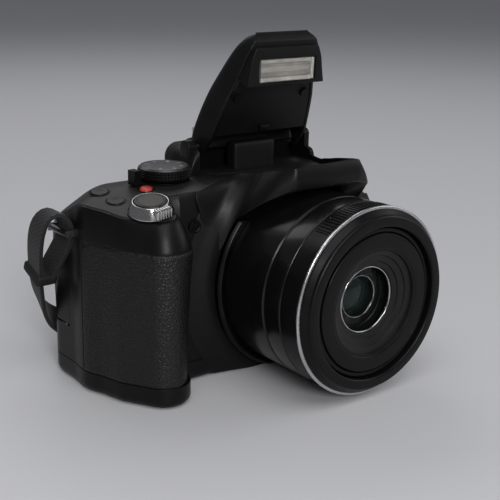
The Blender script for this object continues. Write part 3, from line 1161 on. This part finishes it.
# Ears: a slice of the hump's round, rounded toward the front, each with a lug around its hinge pin
def addEars(cfg):
    turn = np.linspace(0, np.pi / 2, 10)
    k = np.concatenate([[1.0], 1 - 0.25 * (1 - np.cos(turn)) ** 1.2, np.linspace(0.75, 0, 8)[1:]])
    front, deep = cfg["frontY"], cfg["roundY"]
    y = np.concatenate([[cfg["backY"]], front + deep * (1 - np.sin(turn)), np.full(7, front)])
    inner, low = cfg["inner"], cfg["low"]
    cz, cr = blockSet["frontRound"][1:]
    pinY, pinZ = cfg["pinY"], cfg["pinZ"]
    for name, sign, middle, top, lugLong, lugRound in cfg["ears"]:
        x = np.linspace(inner, middle + cr - 0.02, 40)
        arc = np.minimum(cz + np.sqrt(np.maximum(cr ** 2 - (x - middle) ** 2, 0)), top)
        ear = np.vstack([[[inner, low]], np.stack([x, arc], 1), [[x[-1], low]], [[inner, low]]])
        ear = evenPoints(softCorners(ear, 0.6), 161)[:-1]
        mid = np.array([(inner + x[-1]) / 2, cfg["midZ"]])
        p = mid + (ear - mid) * k[:, None, None]
        p[..., 1] = np.maximum(p[..., 1], low)
        grid = np.stack([lensX + sign * p[..., 0], np.broadcast_to(y[:, None], p.shape[:2]), p[..., 1]], -1)
        addPiece(name, [(grid, True)], *bodySkin, inside=(lensX + sign * mid[0], 20, 72))
        start = lensX + sign * cfg["lugX"]
        near, far = sorted((start, lensX + sign * (cfg["lugX"] + lugLong)))
        sheets = roundBlock((near, pinY - lugRound, cfg["lugLow"]), (far, pinY + lugRound, pinZ), 0.5)
        post = softCorners([(0, 0), (lugRound, 0), (lugRound, lugLong), (0, lugLong)], 0.5)
        sheets.append((axisTurn(post, (start, pinY, pinZ), (sign, 0, 0), 64), True))
        addPiece(name + "Lug", sheets, *bodySkin)


addFinder(blockSet)
addEars(earSet)
addPiece("hingeBlock", roundBlock(*joinSet["hinge"]), "camera_body", "body_plastic", wellPlastic)
addPiece("deckJoin", roundBlock(*joinSet["deck"]), *bodySkin)
print("top cover made")


# Flash: u across, v along it from the hinge, w toward its inner side; lists are pairs by v
flashSet = {"hinge": (16.7, 18.0, 84.0), "turn": 112.0, "foot": -4, "end": 48, "tipFrom": 44, "power": 0.36,
            "side": [(-4, 27), (2, 27), (10, 25), (20, 22.3), (28, 20), (36, 18.3), (42, 17.2), (46.4, 15.1),
                     (48, 12.6)],
            "outer": [(-4, -3), (2, -7.5), (12, -9.5), (24, -9.3), (36, -6.8), (45, -2.5), (48, 1.2)],
            "edge": [(-4, 2.5), (6, 5), (44, 5), (46.4, 4.4), (48, 1.4)], "leanIn": [(2, 0.09), (22, 0.0)],
            "wall": 1.6, "wallThin": [(44, 1.0), (47, 0.6)], "panelFrom": 7.0, "panelTo": 47.3,
            "catch": ((-1.9, 8.6, 4.0), (1.9, 10.8, 6.9), 0.5), "panelFoot": 2.4, "panelDrop": 2,
            "panel": [(40, 4.9), (44, 4.9), (46.4, 4.2), (47.5, 2.6)]}
headSet = {"middle": (36.85, 9.755), "lean": -20, "from": 31.5, "to": 45.0, "inset": [(40, 0.4), (45, 0.8)],
           "window": (26.2, 8.4, 0.5), "panel": 4.9,
           "depth": [-4.2, -0.75, -0.5, -0.45, 0.0, 0.0, -0.1, -0.4, -0.9]}
tipSet = {"from": 43.2, "to": 47.6, "round": [47.95, 48.1, 48.1], "proud": 0.05, "rollFrom": 0.96,
          "roll": 0.5, "high": [(43, 5.4), (44, 5.35), (46.4, 4.75), (47.6, 2.6), (47.95, 1.7), (48.1, 0.9)],
          "rollFade": [(45, 1), (47.6, 0.2)], "border": 0.9, "borderFade": [(45, 1), (47.6, 0)],
          "endDrop": 0.3}


def flashPlace(p):
    a = math.radians(flashSet["turn"])
    u, v, w = p[..., 0], p[..., 1], p[..., 2]
    hx, hy, hz = flashSet["hinge"]
    y = hy + v * math.cos(a) - w * math.sin(a)
    return np.stack([hx + u, y, hz + v * math.sin(a) + w * math.cos(a)], -1)


# A point inside the flash, at the middle of its width
def flashInner(v, w):
    return flashPlace(np.array([0.0, v, w]))


# Points by row and column, with v the same along a row
def flashGrid(u, v, w):
    return flashPlace(np.stack([u, np.broadcast_to(v[:, None], u.shape), w], -1))


# A smooth curve through pairs, read at given places, as a column
def readCurve(pairs, at):
    c = splineThrough(pairs, 400)
    return np.interp(at, c[:, 0], c[:, 1])[:, None]


# Straight runs between pairs, read at given places, as a column
def readPairs(pairs, at):
    return np.interp(at, *np.array(pairs).T)[:, None]


# Cover: an arch in each cross-section, u = h cos^power, w falls from the edge to the outer line by sin^power
def addCover(cfg):
    end, tip = cfg["end"], cfg["tipFrom"]
    rise = np.sin(np.linspace(0, np.pi / 2, 16)[1:])
    v = np.concatenate([np.linspace(cfg["foot"], tip, 60), end - (end - tip) * (1 - rise)])
    a = np.linspace(0, np.pi, 121)
    a = a - 0.22 * np.sin(4 * a)
    edge = readPairs(cfg["edge"], v)
    across = np.sin(a) ** cfg["power"]
    # Toward the hinge the sides lean in at their inner edge
    lean = 1 - readPairs(cfg["leanIn"], v) * (1 - across)
    u = readCurve(cfg["side"], v) * lean * np.sign(np.cos(a)) * np.abs(np.cos(a)) ** cfg["power"]
    w = edge - (edge - readCurve(cfg["outer"], v)) * across
    cover = addPiece("flashCover", [(flashGrid(u, v, w), False)], "flash", "body_plastic", flashPlastic,
                     crease=60, inside=flashInner(22.0, 3.0), replaces=("flash_cover",))
    wall = cover.modifiers.new("wall", "SOLIDIFY")
    wall.thickness = cfg["wall"] * mm
    wall.offset = -1


# Inner panel: a plate between the side walls, flush with their edge, its border turned down
def addPanel(cfg):
    first, last = cfg["panelFrom"], cfg["panelTo"]
    v = np.concatenate([[first], np.linspace(first, last, 56), [last]])
    s = np.concatenate([[-1.0], np.linspace(-1, 1, 60), [1.0]])
    lean = 1 - readPairs(cfg["leanIn"], v)
    half = readCurve(cfg["side"], v) * lean - cfg["wall"] * readPairs(cfg["wallThin"], v) - 0.05
    w = readPairs(cfg["panel"], v) + 0 * s
    w[0, 1:-1] = cfg["panelFoot"]
    w[:, [0, -1]] -= cfg["panelDrop"]
    addPiece("flashInside", [(flashGrid(half * s[None, :], v, w), False)], *flashPanel, crease=30,
             inside=flashInner(22.0, -6.0), replaces=("flash_panel",))


# Head: as wide as the cover, from the window's opening out over the face, then down to the panel
def addHead(cfg):
    lean = math.radians(cfg["lean"])
    hv, hw = cfg["middle"]
    along = np.linspace(cfg["from"], cfg["to"], 12)
    side = readCurve(flashSet["side"], along) - readPairs(cfg["inset"], along)
    right = np.hstack([side, (along[:, None] - hv) / math.cos(lean)])
    corner = np.arctan2(right[[0, -1], 1], right[[0, -1], 0])
    near = np.linspace(-0.09, 0.09, 25)
    close = [c + near for c in (*corner, *(np.pi - corner))]
    a = np.concatenate([np.linspace(-np.pi, np.pi, 301)[:-1], *close])
    a = np.unique(np.round((a + np.pi) % (2 * np.pi) - np.pi, 5))
    ends = np.vstack([right, right[::-1] * [-1, 1], right[:2]])
    face = reachOf(evenPoints(softCorners(ends, 0.7), 4000), (0, 0), a)
    hole = frameReach(*cfg["window"], a)
    r = np.stack([hole, hole, hole + 0.3, hole + 0.75, hole + 0.9, face - 0.9, face - 0.4, face - 0.1, face])
    depth = np.array(cfg["depth"])[:, None]
    x, y = r * np.cos(a), r * np.sin(a)
    v = hv + y * math.cos(lean) - depth * math.sin(lean)
    w = hw + y * math.sin(lean) + depth * math.cos(lean)
    rows = np.stack([x, v, w], -1)
    foot = rows[-1:].copy()
    foot[..., 2] = np.minimum(foot[..., 2], cfg["panel"])
    grid = flashPlace(np.concatenate([rows, foot]))
    addPiece("flashHead", [(grid, True)], *flashPanel, crease=32, inside=flashInner(38.0, 4.0))


# Tip: a plain cap over the panel's end and the cover's edge, rolled down at its border
def addTip(cfg):
    v = np.concatenate([np.linspace(cfg["from"], cfg["to"], 14), cfg["round"]])
    s = np.concatenate([[-1.0], np.linspace(-1, 1, 41), [1.0]])
    half = readCurve(flashSet["side"], np.minimum(v, flashSet["end"])) + cfg["proud"]
    first = cfg["rollFrom"]
    roll = cfg["roll"] * np.clip((np.abs(s) - first) / (1 - first), 0, 1) ** 2
    w = readPairs(cfg["high"], v) - roll[None, :] * readPairs(cfg["rollFade"], v)
    w[-1] -= cfg["endDrop"]
    w[:, [0, -1]] -= cfg["border"] * readPairs(cfg["borderFade"], v)
    addPiece("flashTip", [(flashGrid(half * s[None, :], v, w), False)], "flash", "body_plastic", flashPlastic,
             crease=50, inside=flashInner(40.0, -2.0))


addCover(flashSet)
addPanel(flashSet)
addHead(headSet)
addTip(tipSet)
# Catch that holds the flash down
addPiece("flashCatch", roundBlock(*flashSet["catch"], flashPlace), *flashPanel)
print("flash made")


# Controls on the deck: profiles of (radius, height) about the deck's own normal
deckNormal = np.array([-0.13673, -0.16602, 0.97660])
controlSet = {
    "shutter": (-48.0, -9.8), "movie": (-39.9, 6.0), "focus": (-54.5, 14.0), "drive": (-53.5, 4.5),
    "dial": (-27.5, 12.7, 74.3), "teeth": 48, "teethZ": (1.6, 4.75),
    "rowHigh": 1.05, "toothDeep": 0.7, "marks": "12345678", "markSize": 2.3, "markReach": 6.5, "markZ": 5.66,
    "shutterCap": [(5.8, -1.5), (5.8, 4.3), (5.6, 4.55), (5.2, 4.68), (4.9, 4.7), (4.8, 4.6), (4.65, 4.6),
                   (4.55, 4.68), (2.6, 4.62), (1.2, 4.58), (0, 4.57)],
    "zoomRing": [(5.95, 0.3), (8.15, 0.3), (8.25, 0.7), (6.55, 4.2), (6.3, 4.4), (6.0, 4.3), (5.95, 0.3)],
    "tab": (3.2, -9.1, -6.2, 0.9, 4.2), "ribs": 6, "ribHalf": 0.36, "ribEnd": 0.6, "ribProud": (0.25, 0.3),
    "button": [(3.15, -1.2), (3.15, 0.2), (3.0, 0.42), (2.7, 0.48), (1.6, 0.25), (0, 0.15)],
    "well": [(3.25, -0.6), (3.3, 0.02), (3.42, 0.1), (3.75, 0.1), (3.95, -0.1)],
    "movieCap": [(2.3, -1.2), (2.3, 0.2), (2.15, 0.42), (1.6, 0.55), (0, 0.6)],
    "movieRing": [(2.42, -0.6), (2.45, 0.15), (2.75, 0.3), (3.15, 0.2), (3.3, -0.1)],
    "dialSide": [(7.6, 0.2), (9.2, 0.9), (9.9, 1.35), (9.95, 1.6)],
    "dialTop": [(9.75, 5.0), (9.5, 5.25), (8.95, 5.72), (8.7, 5.78), (8.55, 5.62), (0, 5.62)]}


# A point at the deck's slanted plane
def onDeck(at):
    x, y = at
    return np.array([x, y, deckPlane(x, y)])


# Local points on the deck, turned so that local Z is the deck's normal
def deckPlace(at):
    x, y, z = deckNormal / np.linalg.norm(deckNormal)
    cross = np.array([[0, 0, x], [0, 0, y], [-x, -y, 0]])
    turn = np.eye(3) + cross + cross @ cross / (1 + z)
    return lambda p: onDeck(at) + p @ turn.T


def addControls(cfg):
    place = onDeck(cfg["shutter"])
    addPiece("shutterCap", [(axisTurn(cfg["shutterCap"], place, deckNormal, 128), True)], "shutter_button",
             "shutter_metal", shutterMetal, crease=30, replaces=("shutter_button",))
    turn = deckPlace(cfg["shutter"])
    sheets = [(axisTurn(softCorners(cfg["zoomRing"], 0.15), place, deckNormal, 128), True)]
    wide, near, far, low, high = cfg["tab"]
    sheets += roundBlock((-wide, near, low), (wide, far, high), 0.5, turn)
    out, up = cfg["ribProud"]
    half = cfg["ribHalf"]
    for x in np.linspace(cfg["ribEnd"] - wide, wide - cfg["ribEnd"], cfg["ribs"]):
        sheets += roundBlock((x - half, near - out, low + 0.1), (x + half, far, high + up), 0.25, turn, 5)
    addPiece("zoomRing", sheets, "zoom_lever", "chrome_trim", chromeTrim, replaces=("zoom_lever",))
    for name, key, node in (("focusCap", "focus", "focus_button"), ("driveCap", "drive", "drive_button")):
        cap = axisTurn(cfg["button"], onDeck(cfg[key]), deckNormal, 72)
        addPiece(name, [(cap, True)], node, "button_grey", buttonPlastic, replaces=(node,))
    wells = [(axisTurn(cfg["well"], onDeck(cfg[key]), deckNormal, 72), True) for key in ("focus", "drive")]
    addPiece("deckWells", wells, "camera_body", "satin_black", innerBlack)
    ring = axisTurn(cfg["movieRing"], onDeck(cfg["movie"]), deckNormal, 72)
    addPiece("movieRing", [(ring, True)], "camera_body", "satin_black", satinBlack)
    cap = axisTurn(cfg["movieCap"], onDeck(cfg["movie"]), deckNormal, 72)
    addPiece("movieCap", [(cap, True)], "movie_button", "red_plastic", recordRed, replaces=("movie_button",))

    # Mode dial: three rows of small teeth, a wave by angle times a wave along the height, both clipped
    low, high = cfg["teethZ"]
    h = np.linspace(low, high, 25)
    side = np.vstack([cfg["dialSide"], np.stack([0 * h + 10.0, h], 1), [[9.8, 4.95], [9.6, 5.02], [0, 5.02]]])

    def teeth(height, angle):
        inside = (height >= low) * (height <= high)
        row = np.clip(1.3 * np.abs(np.sin(np.pi * (height - low) / cfg["rowHigh"])), 0, 1)
        tooth = np.clip(0.5 + 1.4 * np.cos(cfg["teeth"] * angle), 0, 1)
        return -cfg["toothDeep"] * (1 - tooth * row) * inside

    spot = np.array(cfg["dial"])
    addPiece("dialSide", [(axisTurn(side, spot, (0, 0, 1), cfg["teeth"] * 10, teeth), True)], "mode_dial",
             "body_plastic", bodyPlastic, crease=50, replaces=("mode_dial",))
    addPiece("dialTop", [(axisTurn(cfg["dialTop"], spot, (0, 0, 1), 144), True)], "mode_dial", "dark_metal",
             dialMetal, crease=25, inside=spot)
    addMarks(cfg, spot)
    print("deck controls made")


# Plain numbers around the dial: each figure's outline as a flat mesh, turned to its place
def addMarks(cfg, spot):
    points, faces, start = [], [], 0
    for k, figure in enumerate(cfg["marks"]):
        curve = bpy.data.curves.new("mark", "FONT")
        curve.body = figure
        curve.size = cfg["markSize"]
        curve.align_x = "CENTER"
        curve.align_y = "CENTER"
        curve.resolution_u = 3
        holder = bpy.data.objects.new("mark", curve)
        mesh = bpy.data.meshes.new_from_object(holder)
        p = np.empty(len(mesh.vertices) * 3)
        mesh.vertices.foreach_get("co", p)
        p = p.reshape(-1, 3) + [0, cfg["markReach"], 0]
        a = 2 * np.pi * k / len(cfg["marks"])
        spin = np.array([[math.cos(a), -math.sin(a), 0], [math.sin(a), math.cos(a), 0], [0, 0, 1]])
        points.append(p @ spin.T + spot + [0, 0, cfg["markZ"]])
        faces += [[start + i for i in f.vertices] for f in mesh.polygons]
        start += len(p)
        bpy.data.objects.remove(holder)
        bpy.data.curves.remove(curve)
        bpy.data.meshes.remove(mesh)
    mesh = bpy.data.meshes.new("dialMarks")
    mesh.from_pydata((np.vstack(points) * mm).tolist(), [], faces)
    mesh.update()
    normal = np.empty(len(mesh.polygons) * 3)
    mesh.polygons.foreach_get("normal", normal)
    if normal.reshape(-1, 3)[:, 2].sum() < 0:
        mesh.flip_normals()
    mesh.materials.append(printWhite)
    obj = bpy.data.objects.new("dialMarks", mesh)
    scene.collection.objects.link(obj)
    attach(obj, "mode_dial")


addControls(controlSet)


# Front and rear details: lamp ring, screen frame, rings around the buttons, eyecup, shoe contact, terminals.
# Profiles are (radius, height); frames are (width, height, corner).
detailSet = {
    "lamp": (-28.1, -8.3, 61.0), "rearY": 38.0,
    "lampRing": [(1.65, -1.0), (1.7, 0.15), (2.0, 0.42), (2.45, 0.3), (2.6, -0.5)],
    "buttons": [(-49.1, 15), (-31.1, 15), (-28.1, 52), (-40.1, 54)], "pad": (-40.1, 32),
    "buttonRing": [(3.12, -0.8), (3.2, 0.1), (3.45, 0.3), (3.9, 0.22), (4.2, -0.3)],
    "padRing": [(9.65, -0.8), (9.75, 0.1), (10.0, 0.3), (10.6, 0.22), (11, -0.3)],
    "bars": [(0, 7.2), (0, -7.2), (7.2, 0), (-7.2, 0)], "barHalf": (0.9, 0.28), "barY": (38.6, 39.05),
    "shoeFront": (25.5, 86.0), "shoeSlope": (17.5, 3.6), "contactAlong": 8.5, "contactUp": 0.7,
    "contact": [(1.6, 0), (1.6, 0.25), (0, 0.25)],
    "ports": [((-63.6, 22.4, 27), (-63.0, 28.8, 31)), ((-63.6, 23.2, 38), (-63.0, 28, 42))],
    "slot": ((-65.3, 11.6, 57.3), (-64.7, 14.4, 58.3))}
screenSet = {"place": (19.1, 33.5), "inner": (70.3, 48.3, 0.6), "outer": (75.5, 52.5, 3.0),
             "depth": [37.2, 38.25, 38.45, 38.4, 38.2, 37.8]}
eyecupSet = {"axis": 70.5, "outer": (28.0, 14.6, 6.4), "mouth": (24.0, 12.4, 5.0),
             "throat": (20.0, 11.5, 4.0), "foot": 43.15, "rim": 56.9, "rimHigh": 2.2}


# Screen frame: a low ridge around the window
def addScreenFrame(cfg):
    a = np.linspace(-np.pi, np.pi, 401)[:-1]
    inner, outer = frameReach(*cfg["inner"], a), frameReach(*cfg["outer"], a)
    r = np.stack([inner, inner, inner + 0.25, outer - 1.2, outer - 0.3, outer])
    x, z = cfg["place"]
    grid = reachGrid(x, z, r, a, cfg["depth"])
    addPiece("screenFrame", [(grid, True)], *bodySatin, inside=(x, 20, z))


# Rings around the rear buttons and the pad, and four short bars on the pad
def addRearRings(cfg):
    y = cfg["rearY"]
    x, z = cfg["pad"]
    sheets = [(axisTurn(cfg["buttonRing"], (bx, y, bz), (0, 1, 0), 64), True) for bx, bz in cfg["buttons"]]
    sheets.append((axisTurn(cfg["padRing"], (x, y, z), (0, 1, 0), 96), True))
    addPiece("rearRings", sheets, *bodySatin)
    bars = []
    near, far = cfg["barY"]
    for dx, dz in cfg["bars"]:
        wide, tall = cfg["barHalf"] if dx == 0 else cfg["barHalf"][::-1]
        low, high = (x + dx - wide, near, z + dz - tall), (x + dx + wide, far, z + dz + tall)
        bars += roundBlock(low, high, 0.2, None, 5)
    addPiece("padBars", bars, "cursor_pad", "button_grey", dialMetal)


# Eyecup: rounded frames along its depth, a rolled rim, then down the mouth into the throat
def addEyecup(cfg):
    a = np.linspace(-np.pi, np.pi, 301)[:-1]
    outer, mouth, throat = (frameReach(*cfg[key], a) for key in ("outer", "mouth", "throat"))
    turn = np.linspace(0, np.pi, 9)[:, None]
    rim = (outer + mouth) / 2 + (outer - mouth) / 2 * np.cos(turn)
    r = np.concatenate([[throat, outer - 0.8, outer - 0.6, outer - 0.8, outer - 0.3], rim,
                        [mouth - 0.05, mouth - 0.2, throat, throat]])
    foot = cfg["foot"]
    rimY = cfg["rim"] + cfg["rimHigh"] * np.sin(turn[:, 0])
    y = np.concatenate([[foot, foot, 44.5, 47, 52], rimY, [54, 51, 50, foot]])
    grid = reachGrid(lensX, cfg["axis"], r, a, y)
    addPiece("eyecupRubber", [(grid, True)], *bodyRubber, replaces=("eyecup",))


# Contact in the accessory shoe, on the hump's slope, sockets behind the terminal door and a slot in the side
def addSmallParts(cfg):
    run, fall = cfg["shoeSlope"]
    slope = math.atan2(fall, run)
    axis = np.array([0, math.sin(slope), math.cos(slope)])
    along = np.array([0, math.cos(slope), -math.sin(slope)])
    spot = np.array([lensX, *cfg["shoeFront"]]) + cfg["contactAlong"] * along + cfg["contactUp"] * axis
    disc = axisTurn(softCorners(cfg["contact"], 0.1), spot, axis, 48)
    addPiece("shoeContact", [(disc, True)], "camera_body", "steel", steelPlain)
    ports = [sheet for low, high in cfg["ports"] for sheet in roundBlock(low, high, 0.25)]
    addPiece("terminals", ports, "camera_body", "dark_metal", darkMetal)
    addPiece("sideSlot", roundBlock(*cfg["slot"], 0.3), "camera_body", "satin_black", innerBlack)


addPiece("lampRing", [(axisTurn(detailSet["lampRing"], detailSet["lamp"], (0, -1, 0), 64), True)], *bodySatin)
addScreenFrame(screenSet)
addRearRings(detailSet)
addEyecup(eyecupSet)
addSmallParts(detailSet)
print("details made")


# Finishes of the CAD nodes that stay as they are
nodeFinish = {
    "terminal_door": bodyPlastic, "battery_door": bodyPlastic, "battery": cellLabel, "main_board": boardGreen,
    "fixed_sleeve": wellPlastic, "rear_element": finderGlass, "sensor_unit": boardGreen,
    "lcd_panel": darkMetal, "lcd_window": screenGlass, "evf_display": screenGlass, "evf_lens": finderGlass,
    "hot_shoe": steelPlain, "flash_window": windowPlastic, "flash_reflector": reflectorFoil,
    "flash_tube": tubeGlass, "hinge_pins": darkMetal, "flash_screws": innerBlack, "power_lever": satinBlack,
    "rear_dial": satinBlack, "set_button": dialMetal, "af_lamp": lampDark, "strap_lugs": lugMetal,
    "base_screws": darkMetal, "tripod_socket": steelPlain}
buttonNodes = ("battery_latch", "diopter_dial", "af_lock_button", "play_button", "cursor_pad", "disp_button",
               "quick_button", "evf_button", "flash_button")
nodeFinish.update(dict.fromkeys(buttonNodes, buttonPlastic))


def finishNodes(finish):
    for name, material in finish.items():
        for slot in cadNodes[name].material_slots:
            slot.link = "OBJECT"
            slot.material = material
    print("nodes finished")


finishNodes(nodeFinish)
